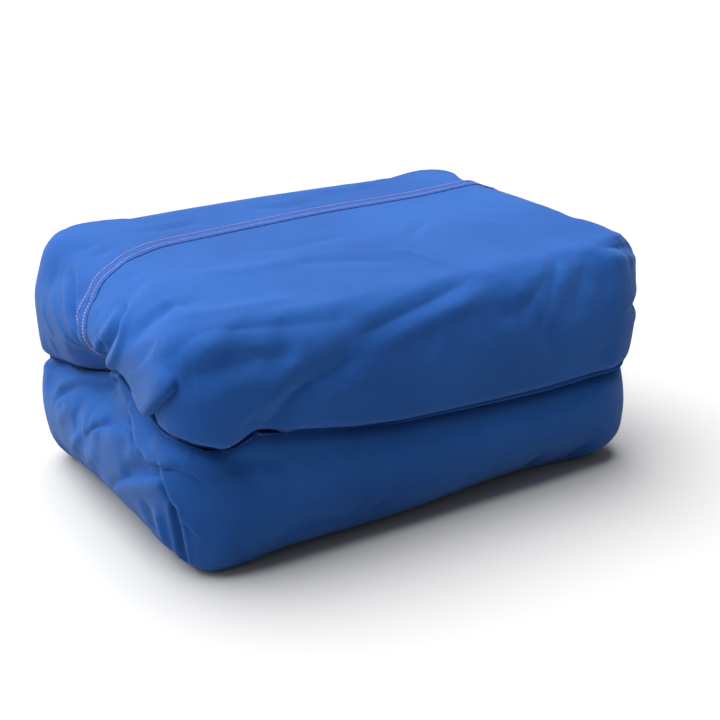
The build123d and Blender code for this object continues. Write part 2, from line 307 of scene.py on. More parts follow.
def meeting_height(x, y):
    """Height of the surface where the two halves rest on each other. It is level inside, and wavy along the
    front and the left end."""
    left = np.interp(y, list(LEFT_CREASE), list(LEFT_CREASE.values())) * MM
    front = np.interp(x, list(FRONT_CREASE), list(FRONT_CREASE.values())) * MM
    near_left = 1 - smoothstep(x, -0.297, -0.248)
    near_front = 1 - smoothstep(y, -0.198, -0.160)
    share = np.maximum(1, near_left + near_front)
    return HINGE.z + (near_left * left + near_front * front) / share


def follow_crease(piece, far_height):
    """Moves a half's inner side to follow the meeting surface, while its far side stays where it is."""
    points = points_of(piece)
    nearness = np.clip((points[:, 2] - far_height) / (HINGE.z - far_height), 0, 1.2)
    points[:, 2] += nearness**2 * (meeting_height(points[:, 0], points[:, 1]) - HINGE.z)
    move_points(piece, points)


def rest_on(piece, height, above):
    """Flattens the cloth where it rests on, or under, a surface."""
    points = points_of(piece)
    surface = height(points[:, 0], points[:, 1])
    if above:
        points[:, 2] = np.maximum(points[:, 2], surface + REST_GAP)
    else:
        points[:, 2] = np.minimum(points[:, 2], surface - REST_GAP)
    move_points(piece, points)


def round_rim(piece, above):
    """Turns the cloth in where the halves meet, so that a deep rounded groove runs between them."""
    points, normals = points_of(piece), normals_of(piece)
    clear = (points[:, 2] - meeting_height(points[:, 0], points[:, 1])) * (1 if above else -1)
    closeness = np.clip(1 - clear / RIM_HEIGHT, 0, 1) ** 3
    sideways = normals * np.array([1, 1, 0])
    points -= sideways * (closeness * RIM_DEPTH)[:, None]
    move_points(piece, points)


def finish_cloth(piece):
    """Subdivides once and shades smooth."""
    apply_modifier(piece, "SUBSURF", levels=1, render_levels=1)
    only(piece)
    bpy.ops.object.shade_smooth()


def flatten_back(piece):
    """The backs of the two halves stand just clear of the hinge line, so that the bundle can open flat."""
    points = points_of(piece)
    start = HINGE.y - BACK_CLEARANCE - BACK_EASING
    over = points[:, 1] - start
    points[:, 1] = np.where(over > 0, start + BACK_EASING * np.tanh(over / BACK_EASING), points[:, 1])
    move_points(piece, points)


def seat_inlet(piece):
    """Draws the cloth in round the power inlet, so that its flange lies on it."""
    low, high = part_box("inlet_gasket")
    points = points_of(piece)
    outside = np.maximum(np.maximum(low.y - points[:, 1], points[:, 1] - high.y), 0)
    outside = np.hypot(outside, np.maximum(np.maximum(low.z - points[:, 2], points[:, 2] - high.z), 0))
    seat = low.x - 0.5 * MM + SEAT_SLOPE * np.maximum(outside - SEAT_MARGIN, 0)
    near = (outside < SEAT_REACH) & (points[:, 0] > high.x - SEAT_REACH)
    points[:, 0] = np.where(near, np.minimum(points[:, 0], seat), points[:, 0])
    move_points(piece, points)


def cut_inlet_hole(piece):
    """The round hole that the inlet's socket goes through."""
    low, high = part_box("inlet_housing")
    bpy.ops.object.select_all(action="DESELECT")
    centre = (high.x, (low.y + high.y) / 2, (low.z + high.z) / 2)
    lying = (0, math.pi / 2, 0)
    bpy.ops.mesh.primitive_cylinder_add(
        vertices=48, radius=INLET_HOLE_RADIUS, depth=64 * MM, location=centre, rotation=lying)
    cutter = bpy.context.object
    apply_modifier(piece, "BOOLEAN", operation="DIFFERENCE", object=cutter, solver="EXACT")
    bpy.data.objects.remove(cutter)


def upper_cover():
    low, high = UPPER_LOW, UPPER_HIGH
    middle = (low + high) / 2
    piece = stuffed_block("upper_cover", low - Vector((0, 0, PRESSED)), high, 50 * MM, 26 * MM, 34 * MM)
    apply_modifier(piece, "REMESH", mode="VOXEL", voxel_size=REMESH)
    # the top stands higher at the rear and towards the right end
    grab(piece, (0.0, high.y - 0.01, high.z), (0.40, 0.13, 0.08), (0, 0, 6 * MM))
    grab(piece, (high.x - 0.02, 0.02, high.z), (0.12, 0.24, 0.08), (6 * MM, 0, 5 * MM))
    # the front and the left end belly out
    grab(piece, (middle.x, low.y, middle.z), (0.38, 0.16, 0.09), (0, -9 * MM, 0))
    grab(piece, (low.x, middle.y, middle.z), (0.16, 0.28, 0.09), (-6 * MM, 0, 0))
    # the top edge of the left end falls away, and the front of the right end bulges
    grab(piece, (low.x, middle.y + 0.05, high.z), (0.10, 0.34, 0.08), (16 * MM, 0, -5 * MM))
    grab(piece, (high.x, low.y + 0.13, middle.z - 0.02), (0.16, 0.18, 0.10), (18 * MM, 0, 0))
    # the top rolls over into the front, and its right corner stands out
    grab(piece, (middle.x, low.y, high.z), (0.60, 0.17, 0.11), (0, 11 * MM, -19 * MM))
    grab(piece, (high.x + 0.01, low.y + 0.07, 0.245), (0.06, 0.09, 0.05), (8 * MM, -2 * MM, 8 * MM))
    inflate(piece, 5 * MM, 4 * MM)
    follow_crease(piece, UPPER_HIGH.z)
    rest_on(piece, meeting_height, above=True)
    round_rim(piece, above=True)
    # the left end is drawn in where the fold runs into the gap
    grab(piece, (low.x - 0.01, 0.00, 0.168), (0.070, 0.080, 0.050), (26 * MM, 0, 2 * MM))
    flatten_back(piece)
    seat_inlet(piece)
    finish_cloth(piece)
    return piece


def lower_cover():
    low, high = LOWER_LOW, LOWER_HIGH
    middle = (low + high) / 2
    piece = stuffed_block("lower_cover", low, high + Vector((0, 0, PRESSED)), 44 * MM, 24 * MM, 40 * MM)
    apply_modifier(piece, "REMESH", mode="VOXEL", voxel_size=REMESH)
    # the front and the left end belly out
    grab(piece, (middle.x, low.y, middle.z), (0.38, 0.16, 0.09), (0, -6 * MM, 0))
    grab(piece, (low.x, middle.y, middle.z + 0.02), (0.16, 0.32, 0.09), (-14 * MM, 0, 0))
    # the front left corner draws in, and the front of the right end bulges
    grab(piece, (low.x, low.y, 0), (0.10, 0.10, 0.14), (8 * MM, 6 * MM, 0))
    grab(piece, (high.x, low.y + 0.11, middle.z), (0.16, 0.20, 0.12), (28 * MM, 0, 0))
    # the bottom of the front tucks under on the right
    grab(piece, (0.16, low.y, 0), (0.24, 0.10, 0.05), (0, 14 * MM, 0))
    inflate(piece, 7 * MM, 4 * MM)
    follow_crease(piece, 0.0)
    rest_on(piece, meeting_height, above=False)
    rest_on(piece, lambda x, y: 0 * x, above=True)
    round_rim(piece, above=False)
    # the left end is drawn in under the fold of the upper half
    grab(piece, (low.x - 0.015, 0.01, 0.158), (0.070, 0.090, 0.040), (20 * MM, 0, -2 * MM))
    flatten_back(piece)
    finish_cloth(piece)
    return piece


# ------------------------------------------------------------------ creases and folds, in millimetres
def crease_upper(piece):
    skin = surface_of(piece)
    # the deep pinch at the front left corner, with a rolled lip on its outer side
    tuck(piece, skin, [(-300, -108, 164), (-308, -150, 188), (-303, -178, 214),
                       (-292, -190, 232)], 8, 11, 0.05, 0.12)
    # the fold that runs from the top down the left end into the gap between the halves
    furrow(piece, skin, [(-282, 112, 266), (-294, 79, 252), (-307, 48, 234), (-311, 20, 213),
                         (-300, 2, 182)], 5, 8, 0.4, 0.05, 0.5)
    ridge(piece, skin, [(-303, 133, 238), (-310, 90, 218), (-311, 60, 200), (-306, 30, 182)], 4, 3.5)
    ridge(piece, skin, [(-308, 142, 221), (-310, 125, 200), (-308, 98, 180)], 4, 2.5)
    # the folds between the seam and the front corner
    furrow(piece, skin, [(-277, -41, 271), (-298, -62, 252), (-310, -58, 228),
                         (-302, -26, 192)], 7, 8, 0.35, 0.05, 0.3)
    ridge(piece, skin, [(-286, -62, 265), (-301, -84, 248), (-312, -80, 222),
                        (-306, -45, 192)], 6, 5, 0.3, 0.1)
    furrow(piece, skin, [(-306, -26, 236), (-311, -42, 216), (-301, -20, 192)], 4, 5, 0.4, 0.1)
    # long soft ripples that fan out over the top from the front left corner
    furrow(piece, skin, [(-310, -142, 218), (-290, -179, 250), (-255, -182, 265), (-159, -187, 256),
                         (-62, -188, 250)], 10, 2.4)
    furrow(piece, skin, [(-303, -98, 243), (-272, -118, 269), (-227, -128, 277)], 8, 3)
    ridge(piece, skin, [(-298, -130, 246), (-262, -150, 268), (-200, -155, 272),
                        (-120, -150, 274)], 10, 3)
    furrow(piece, skin, [(-292, -191, 231), (-256, -204, 237), (-219, -203, 238),
                         (-160, -205, 232)], 13, 3.2, 0.1, 0.4)
    ridge(piece, skin, [(-280, -203, 214), (-240, -210, 220), (-190, -211, 222)], 14, 2.6)
    # the shallow fold along the front roll
    furrow(piece, skin, [(-120, -203, 232), (-81, -197, 239), (-39, -191, 244), (0, -187, 251),
                         (46, -178, 257), (75, -170, 263)], 9, 3.6)
    ridge(piece, skin, [(-84, -204, 226), (-33, -200, 232), (21, -196, 239), (70, -188, 249),
                        (90, -180, 256)], 12, 2.8)
    # the dent above the notch in the front edge, and its soft valley to the right
    furrow(piece, skin, [(-207, -206, 158), (-191, -211, 180), (-170, -214, 200), (-122, -210, 213),
                         (-74, -207, 222)], 13, 8, 0.02, 0.5)
    # wrinkles round the front right corner
    furrow(piece, skin, [(73, -206, 220), (108, -205, 226), (134, -201, 236)], 9, 1.8)
    furrow(piece, skin, [(113, -205, 224), (130, -200, 236), (150, -193, 249),
                         (158, -182, 259)], 8, 2.4)
    furrow(piece, skin, [(156, -209, 210), (150, -204, 228), (163, -194, 246),
                         (190, -166, 266)], 8, 2.2)
    furrow(piece, skin, [(178, -211, 200), (190, -203, 226), (200, -197, 242),
                         (218, -184, 260)], 11, 2.4)
    furrow(piece, skin, [(302, -165, 258), (280, -176, 264), (255, -180, 265),
                         (226, -178, 266)], 8, 6, 0.05, 0.6)
    furrow(piece, skin, [(316, -150, 200), (300, -190, 198), (280, -205, 196),
                         (246, -213, 194)], 7, 6, 0.05, 0.6)
    # faint ripples on the top
    furrow(piece, skin, [(47, -77, 288), (75, -55, 290), (111, -25, 290)], 7, 2)
    ridge(piece, skin, [(10, -90, 286), (32, -104, 283), (60, -150, 272)], 6, 1.8)
    furrow(piece, skin, [(160, -20, 290), (178, -50, 290), (195, -85, 288)], 8, 2)
    furrow(piece, skin, [(-150, -15, 288), (-90, -35, 288), (-20, -30, 288), (30, -50, 288)], 10, 2)
    furrow(piece, skin, [(-110, -80, 284), (-40, -95, 284), (30, -125, 278)], 9, 2)
    ridge(piece, skin, [(-230, -60, 280), (-150, -75, 284), (-60, -70, 286)], 11, 2)
    furrow(piece, skin, [(-215, 120, 284), (-170, 105, 286), (-110, 110, 286)], 8, 2.5)
    furrow(piece, skin, [(-60, 130, 287), (0, 112, 288), (60, 122, 288)], 8, 2)
    ridge(piece, skin, [(40, 150, 288), (100, 140, 288), (160, 150, 286)], 10, 2.5)
    # the right end: folds that fan out from the front roll and from the fold line
    furrow(piece, skin, [(316, -95, 165), (318, -80, 200), (306, -60, 240), (285, -40, 268)], 7, 5)
    furrow(piece, skin, [(306, 20, 160), (308, 12, 195), (304, 25, 235)], 6, 4)
    furrow(piece, skin, [(298, 180, 165), (302, 160, 185), (306, 175, 215), (296, 190, 245)], 6, 4)
    # the back, above the hinge line
    for x, lean in ((-240, 8), (-130, -6), (-20, 5), (90, 9), (205, -8)):
        furrow(piece, skin, [(x, 206, 165), (x + lean, 206, 205), (x - lean, 203, 255)], 6, 3)


def crease_lower(piece):
    skin = surface_of(piece)
    # the wedge-shaped hollow on the left end, and the puffs above and below it
    furrow(piece, skin, [(-312, -12, 122), (-309, -42, 140), (-304, -72, 152)], 13, 7, 0.3, 0.05, 0.1)
    tuck(piece, skin, [(-314, 12, 102), (-313, -26, 120), (-309, -50, 130),
                       (-304, -97, 144)], 6, 8, 0.25, 0.02, swap=True)
    tuck(piece, skin, [(-313, 30, 90), (-313, 12, 106), (-311, -8, 124),
                       (-308, -30, 140)], 6, 5, 0.3, 0.3)
    furrow(piece, skin, [(-311, -72, 84), (-311, -105, 104), (-307, -138, 118)], 10, 6, 0.3, 0.1, 0.1)
    tuck(piece, skin, [(-309, -38, 46), (-310, -58, 64), (-312, -90, 83), (-311, -123, 100),
                       (-303, -165, 114)], 6, 9, 0.2, 0.02, swap=True)
    ridge(piece, skin, [(-313, 20, 104), (-314, 43, 80), (-306, 74, 52)], 8, 5)
    ridge(piece, skin, [(-314, -25, 94), (-312, 8, 72), (-304, 30, 45)], 9, 4)
    # the first folds under the upper half, towards the back
    furrow(piece, skin, [(-309, 128, 92), (-306, 108, 112), (-302, 80, 130), (-300, 40, 150),
                         (-299, -25, 170)], 5, 7, 0.2, 0.1, 0.4)
    furrow(piece, skin, [(-270, 196, 120), (-288, 182, 128), (-296, 156, 130),
                         (-298, 140, 132)], 4, 5, 0.2, 0.3, 0.4)
    ridge(piece, skin, [(-308, 110, 75), (-312, 85, 98), (-308, 55, 122)], 9, 3)
    # the thin flap that comes out from under the upper half and runs to the front face
    tuck(piece, skin, [(-299, -78, 166), (-302, -90, 152), (-305, -109, 137), (-304, -135, 128),
                       (-303, -158, 131), (-296, -179, 134), (-280, -194, 126),
                       (-268, -201, 112)], 4, 6, 0.02, 0.35, 0.7)
    tuck(piece, skin, [(-300, -130, 139), (-300, -156, 142), (-289, -187, 134), (-267, -202, 114),
                       (-255, -204, 100)], 4, 4, 0.2, 0.45, 0.7)
    # the dog-ear at the front corner
    tuck(piece, skin, [(-303, -158, 131), (-303, -169, 112), (-298, -177, 90), (-285, -187, 64),
                       (-276, -192, 44)], 4, 6, 0.02, 0.35, 0.5)
    furrow(piece, skin, [(-298, -176, 92), (-298, -174, 75), (-295, -173, 58), (-291, -170, 38),
                         (-286, -163, 12)], 3.5, 7, 0.05, 0.05, 0.3)
    ridge(piece, skin, [(-307, -150, 86), (-303, -150, 63), (-299, -149, 43), (-290, -149, 20)], 6, 5)
    furrow(piece, skin, [(-311, -128, 84), (-305, -130, 60), (-298, -128, 36)], 7, 3)
    # soft valleys on the front face beside the dog-ear
    furrow(piece, skin, [(-262, -201, 141), (-233, -204, 120), (-205, -208, 88)], 14, 5)
    furrow(piece, skin, [(-252, -199, 143), (-217, -203, 127), (-180, -204, 116)], 8, 4)
    # a few slack folds low on the right
    furrow(piece, skin, [(150, -192, 4), (158, -197, 26), (150, -202, 50)], 9, 4, 0.05, 0.6)
    furrow(piece, skin, [(215, -186, 3), (226, -195, 24), (240, -200, 48)], 8, 4, 0.05, 0.6)
    furrow(piece, skin, [(300, -150, 20), (306, -152, 50), (300, -165, 85)], 8, 3)
    furrow(piece, skin, [(306, -60, 120), (310, -70, 90), (304, -50, 50)], 7, 4)
    furrow(piece, skin, [(296, 30, 125), (298, 45, 90), (294, 30, 50)], 7, 4)
    furrow(piece, skin, [(286, 150, 120), (290, 135, 90), (286, 150, 40)], 6, 4)
    for x, lean in ((-215, 7), (-95, -8), (25, 6), (140, -6), (225, 8)):
        furrow(piece, skin, [(x, 206, 120), (x + lean, 206, 75), (x - lean, 203, 25)], 6, 3)
    points = points_of(piece)
    points[:, 2] = np.maximum(points[:, 2], FLOOR_CLEARANCE)
    move_points(piece, points)


# ------------------------------------------------------------------ the panel seam and the stitching
# The front row of stitches, in millimetres: up the right end, along the top, and down the left end
SEAM_PATH = [
    (298, 66, 172), (304, 66, 205), (300, 68, 250), (286, 72, 278), (262, 75, 288), (200, 76, 289),
    (110, 74, 287), (24, 72, 287), (-60, 64, 287), (-140, 55, 287), (-195, 48, 286), (-230, 36, 285),
    (-256, 29, 279), (-280, 27, 263), (-296, 20, 243), (-306, 9, 226), (-309, -2, 207), (-303, -6, 190),
    (-293, -2, 178),
]
SEAM_SPACING = 2 * MM
ROW_GAP = 14 * MM
ROW_HEIGHTS = (0.95 * MM, 1.0 * MM)     # how high the front and the back row stand off the cover
PUCKER_SHARE, PUCKER_LENGTH = 0.18, 11 * MM
STITCH_PITCH, STITCH_LENGTH, STITCH_WIDTH, STITCH_HEIGHT = 3.9 * MM, 3.2 * MM, 1.4 * MM, 0.9 * MM
# Across the lap, from its folded front edge to where it goes under, in millimetres:
# distance behind the front row, and height above the cover
LAP_PROFILE = [
    (-8.4, -1.2), (-8.4, 0.4), (-7.8, 1.2), (-6.0, 1.5), (-3.0, 1.3), (-1.0, 0.7),
    (0.0, 0.4), (1.0, 0.7), (4.0, 1.2), (7.0, 1.3), (10.0, 1.2), (13.0, 0.7),
    (14.0, 0.4), (15.0, 0.7), (17.0, 0.9), (19.0, 0.4), (20.5, -1.2),
]


def averaged(rows, reach):
    """Each row's mean with its neighbours."""
    padded = np.vstack([rows[:1]] * reach + [rows] + [rows[-1:]] * reach)
    return np.array([padded[k:k + 2 * reach + 1].mean(axis=0) for k in range(len(rows))])


def seam_frame(skin, path):
    """Places along a seam on the skin, with the way outwards and the way to the rear at each."""
    line, _ = smooth_path(path, SEAM_SPACING)
    found = [skin.find_nearest(p) for p in line]
    line = averaged(np.array([f[0][:] for f in found]), 2)
    outward = averaged(np.array([f[1][:] for f in found]), 6)
    outward /= np.linalg.norm(outward, axis=1, keepdims=True)
    rear = np.cross(np.gradient(line, axis=0), outward)
    rear /= np.linalg.norm(rear, axis=1, keepdims=True)
    return line, outward, rear


def at_offset(skin, frame_of_seam, offset, height):
    """The seam's line moved sideways over the skin and lifted off it."""
    line, outward, rear = frame_of_seam
    found = [skin.find_nearest(p) for p in line + rear * offset]
    return averaged(np.array([f[0][:] for f in found]), 1) + outward * height


def strip(name, rows):
    """A strip of cloth through rows of places, each row running the same way."""
    count, across = len(rows[0]), len(rows)
    bpy.ops.object.select_all(action="DESELECT")
    bpy.ops.mesh.primitive_grid_add(x_subdivisions=count - 1, y_subdivisions=across - 1, size=1)
    piece = bpy.context.object
    piece.name = name
    piece.data.name = name
    move_points(piece, np.vstack(rows))
    return piece


def seam_lap(skin, seam):
    """The folded edge of the rear panel, which lies over the front one and puckers a little."""
    way = np.arange(len(seam[0])) * SEAM_SPACING
    pucker = 1 + PUCKER_SHARE * np.sin(way * 2 * math.pi / PUCKER_LENGTH)
    rows = []
    for offset, height in LAP_PROFILE:
        rows.append(at_offset(skin, seam, offset * MM, height * MM * pucker[:, None]))
    piece = strip("seam_lap_strip", rows)
    only(piece)
    bpy.ops.object.mode_set(mode="EDIT")
    bpy.ops.mesh.select_all(action="SELECT")
    bpy.ops.mesh.normals_make_consistent(inside=False)
    bpy.ops.object.mode_set(mode="OBJECT")
    up = sum(face.normal.z for face in piece.data.polygons)
    if up < 0:
        piece.data.flip_normals()
    apply_modifier(piece, "SOLIDIFY", thickness=0.7 * MM, offset=-1)
    finish_cloth(piece)
    return piece


def stitches(name, rows, outward):
    """Single stitches end to end along each row of places."""
    bpy.ops.object.select_all(action="DESELECT")
    bpy.ops.mesh.primitive_uv_sphere_add(segments=6, ring_count=4, radius=0.5)
    pattern = bpy.context.object
    bpy.ops.transform.resize(value=(STITCH_WIDTH, STITCH_HEIGHT, STITCH_LENGTH))
    bpy.ops.transform.rotate(value=math.pi / 2, orient_axis="Y", center_override=(0, 0, 0))
    bpy.ops.object.transform_apply(location=True, rotation=True, scale=True)
    made = []
    for row in rows:
        length = np.concatenate([[0], np.cumsum(np.linalg.norm(np.diff(row, axis=0), axis=1))])
        for place in np.arange(STITCH_PITCH / 2, length[-1], STITCH_PITCH):
            k = min(int(np.searchsorted(length, place)), len(row) - 1)
            share = (place - length[k - 1]) / max(length[k] - length[k - 1], 1e-9)
            centre = Vector(row[k - 1] + (row[k] - row[k - 1]) * share)
            forward = Vector(row[k] - row[k - 1]).normalized()
            up = Vector(outward[k])
            side = up.cross(forward).normalized()
            up = forward.cross(side)
            one = pattern.copy()
            one.data = pattern.data.copy()
            one.matrix_world = Matrix((forward, side, up)).transposed().to_4x4()
            one.matrix_world.translation = centre
            bpy.context.scene.collection.objects.link(one)
            made.append(one)
    bpy.data.objects.remove(pattern)
    bpy.ops.object.select_all(action="DESELECT")
    for one in made:
        one.select_set(True)
    bpy.context.view_layer.objects.active = made[0]
    bpy.ops.object.join()
    piece = bpy.context.object
    piece.name = name
    piece.data.name = name
    bpy.ops.object.transform_apply(location=True, rotation=True, scale=True)
    bpy.ops.object.shade_smooth()
    return piece


# ------------------------------------------------------------------ the strip along the back
# The halves turn on this strip. It spans the gap between them this far above and below the hinge line
BRIDGE = 34 * MM
BACK_OF_EMPTY_PLACE = 0.19  # where neither cover is found
SAG_REACH = 14 * MM
SPINE_THICKNESS = 1.2 * MM
SPINE_ROW_INSET = 5 * MM    # its stitches run this far from its edges


def back_of(skins, x, z):
    """How far back the two covers reach at one place."""
    hits = [skin.ray_cast(Vector((x, 0.5, z)), Vector((0, -1, 0)))[0] for skin in skins]
    return max((hit.y for hit in hits if hit is not None), default=BACK_OF_EMPTY_PLACE)


def spine_grid(skins):
    """Lengths, heights and depths of the strip, which lies on both covers and sags into the gap between."""
    low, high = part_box("spine_panel")
    heights = np.linspace(low.z, high.z, 60)
    lengths = np.linspace(low.x, high.x, 120)
    depths = np.array([[back_of(skins, x, z) for x in lengths] for z in heights])
    spanning = np.abs(heights - HINGE.z) < BRIDGE
    for k in range(len(lengths)):
        depths[spanning, k] = np.interp(heights[spanning], heights[~spanning], depths[~spanning, k])
    depths = averaged(averaged(depths, 2).T, 2).T
    sag = np.exp(-(((heights - HINGE.z) / SAG_REACH) ** 2))[:, None]
    ripple = 0.5 * np.sin(lengths * 47 + 2 * np.sin(lengths * 11))[None, :]
    rim = np.minimum(heights - low.z, high.z - heights)[:, None]
    side = np.minimum(lengths - low.x, high.x - lengths)[None, :]
    edge = np.exp(-np.minimum(rim, side) / (2 * MM))
    return lengths, heights, depths + (1.1 - 1.5 * sag + ripple * sag - 0.9 * edge) * MM


def spine(grid):
    """The strip itself, as a doubled sheet of cloth."""
    lengths, heights, depths = grid
    rows = [np.column_stack([lengths, depths[k], np.full_like(lengths, z)]) for k, z in enumerate(heights)]
    piece = strip("back_spine", rows)
    if piece.data.polygons[0].normal.y < 0:
        piece.data.flip_normals()
    apply_modifier(piece, "SOLIDIFY", thickness=SPINE_THICKNESS, offset=-1)
    finish_cloth(piece)
    return piece


def spine_row(grid, height):
    """A row of stitches along the strip, with the way outwards at each place."""
    lengths, heights, depths = grid
    k = int(np.argmin(np.abs(heights - height)))
    row = np.column_stack([lengths, depths[k] + 0.2 * MM, np.full_like(lengths, heights[k])])[2:-2]
    return row, np.tile((0.0, 1.0, 0.0), (len(row), 1))


# ------------------------------------------------------------------ materials
class Finish:
    """A node material, built up one node at a time."""

    def __init__(self, name):
        self.material = bpy.data.materials.new(name)
        self.material.use_nodes = True
        self.tree = self.material.node_tree
        self.shader = self.tree.nodes["Principled BSDF"]

    def node(self, kind, inputs=(), **settings):
        made = self.tree.nodes.new(kind)
        for key, value in settings.items():
            setattr(made, key, value)
        for key, value in dict(inputs).items():
            if isinstance(value, bpy.types.NodeSocket):
                self.tree.links.new(value, made.inputs[key])
            else:
                made.inputs[key].default_value = value
        return made

    def math(self, operation, a, b=0.0):
        return self.node("ShaderNodeMath", {0: a, 1: b}, operation=operation).outputs[0]

    def noise(self, spot, scale, detail):
        made = self.node("ShaderNodeTexNoise", {"Vector": spot, "Scale": scale, "Detail": detail})
        return made.outputs["Fac"]

    def set(self, **values):
        for key, value in values.items():
            socket = self.shader.inputs[key.replace("_", " ")]
            if isinstance(value, bpy.types.NodeSocket):
                self.tree.links.new(value, socket)
            else:
                socket.default_value = value

    def bump(self, height, strength, distance):
        made = self.node("ShaderNodeBump", {"Height": height, "Strength": strength, "Distance": distance})
        self.tree.links.new(made.outputs["Normal"], self.shader.inputs["Normal"])


def weave_height(finish, pitch):
    """A plain weave that lies square on whichever way the surface faces."""
    spot = finish.node("ShaderNodeTexCoord")
    place = finish.node("ShaderNodeSeparateXYZ", {0: spot.outputs["Object"]})
    facing = finish.node("ShaderNodeSeparateXYZ", {0: spot.outputs["Normal"]})
    turns = 2 * math.pi / pitch
    wave = [finish.math("SINE", finish.math("MULTIPLY", place.outputs[k], turns)) for k in range(3)]
    total = None
    for k in range(3):
        crossing = finish.math("MULTIPLY", wave[(k + 1) % 3], wave[(k + 2) % 3])
        share = finish.math("POWER", finish.math("ABSOLUTE", facing.outputs[k]), 2.0)
        part = finish.math("MULTIPLY", crossing, share)
        total = part if total is None else finish.math("ADD", total, part)
    return total


def cover_cloth():
    """Smooth blue woven polyester with a soft sheen."""
    finish = Finish("cover_cloth")
    spot = finish.node("ShaderNodeTexCoord").outputs["Object"]
    weave = weave_height(finish, 0.9 * MM)
    fibre = finish.noise(spot, 900.0, 2.0)
    drift = finish.noise(spot, 9.0, 3.0)
    mixed = finish.math("ADD", finish.math("MULTIPLY", drift, 0.55), finish.math("MULTIPLY", fibre, 0.45))
    tone = finish.node("ShaderNodeValToRGB", {"Fac": mixed})
    tone.color_ramp.elements[0].position = 0.3
    tone.color_ramp.elements[0].color = (0.0070, 0.054, 0.228, 1)
    tone.color_ramp.elements[1].position = 0.7
    tone.color_ramp.elements[1].color = (0.0140, 0.081, 0.300, 1)
    finish.set(Base_Color=tone.outputs["Color"], Roughness=0.8, Sheen_Weight=0.14, Sheen_Roughness=0.36)
    finish.shader.inputs["Sheen Tint"].default_value = (0.80, 0.90, 0.82, 1)
    finish.shader.inputs["Specular IOR Level"].default_value = 0.12
    height = finish.math("ADD", finish.math("MULTIPLY", weave, 0.5), fibre)
    finish.bump(height, 0.55, 0.35 * MM)
    return finish.material


def plain_finish(name, colour, roughness, grain, depth=0.0, metallic=0, spread=0.12):
    """A plain material whose colour drifts a little, with an optional fine relief."""
    finish = Finish(name)
    spot = finish.node("ShaderNodeTexCoord").outputs["Object"]
    noise = finish.noise(spot, grain, 3.0)
    tone = finish.node("ShaderNodeValToRGB", {"Fac": noise})
    tone.color_ramp.elements[0].position = 0.3
    tone.color_ramp.elements[0].color = (*(c * (1 - spread) for c in colour), 1)
    tone.color_ramp.elements[1].position = 0.7
    tone.color_ramp.elements[1].color = (*(min(1, c * (1 + spread)) for c in colour), 1)
    finish.set(Base_Color=tone.outputs["Color"], Roughness=roughness, Metallic=metallic)
    if depth:
        finish.bump(noise, 0.5, depth)
    return finish.material


# ------------------------------------------------------------------ stage, camera and light
CAMERA_PLACE = (-0.7932, -1.2853, 0.7140)
CAMERA_YAW, CAMERA_PITCH = -32.78, 21.30    # degrees: it stands to the front left and looks down
CAMERA_LENS = 67.8                          # millimetres
FLOOR_COLOUR = (0.42, 0.42, 0.42, 1)
WORLD_STRENGTH = 0.20
# Each softbox: strength, apparent size in degrees, and the way towards it
SOFTBOXES = (
    ("overhead_softbox", 8.2, 74, (-0.22, 0.33, 0.92)),
    ("left_softbox", 0.8, 40, (-0.93, 0.10, 0.34)),
)


def camera():
    data = bpy.data.cameras.new("camera")
    data.sensor_width = 36
    data.lens = CAMERA_LENS
    data.clip_end = 50
    eye = bpy.data.objects.new("camera", data)
    bpy.context.scene.collection.objects.link(eye)
    eye.location = CAMERA_PLACE
    yaw, pitch = math.radians(CAMERA_YAW), math.radians(CAMERA_PITCH)
    back = Vector((math.sin(yaw) * math.cos(pitch), -math.cos(yaw) * math.cos(pitch), math.sin(pitch)))
    eye.rotation_euler = back.to_track_quat("Z", "Y").to_euler()
    bpy.context.scene.camera = eye


def studio():
    bpy.ops.object.select_all(action="DESELECT")
    bpy.ops.mesh.primitive_plane_add(size=40, location=(0, 0, 0))
    floor = bpy.context.object
    floor.name = "floor"
    paint = Finish("floor_paint")
    paint.set(Base_Color=FLOOR_COLOUR, Roughness=0.9)
    paint.shader.inputs["Specular IOR Level"].default_value = 0.1
    floor.data.materials.append(paint.material)
    world = bpy.data.worlds.new("studio")
    world.use_nodes = True
    world.node_tree.nodes["Background"].inputs["Color"].default_value = (1, 1, 1, 1)
    world.node_tree.nodes["Background"].inputs["Strength"].default_value = WORLD_STRENGTH
    bpy.context.scene.world = world
    for name, energy, spread, direction in SOFTBOXES:
        data = bpy.data.lights.new(name, "SUN")
        data.energy = energy
        data.angle = math.radians(spread)
        softbox = bpy.data.objects.new(name, data)
        bpy.context.scene.collection.objects.link(softbox)
        softbox.rotation_euler = Vector(direction).to_track_quat("Z", "Y").to_euler()
    bpy.context.scene.view_settings.view_transform = "Standard"


camera()
studio()
cloth = cover_cloth()

upper = upper_cover()
lower = lower_cover()
crease_upper(upper)
crease_lower(lower)
relax(upper, 0.5, 1)
relax(lower, 0.5, 2)
seat_inlet(upper)
cut_inlet_hole(upper)
COVERS = (
    (upper, "outer_cover_upper", "upper_half"),
    (lower, "outer_cover_lower", "lower_half"),
)
for piece, node, body in COVERS:
    piece.data.materials.clear()
    piece.data.materials.append(cloth)
    only(piece)
    bpy.ops.object.shade_smooth()
    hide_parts(node)
    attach(piece, body)

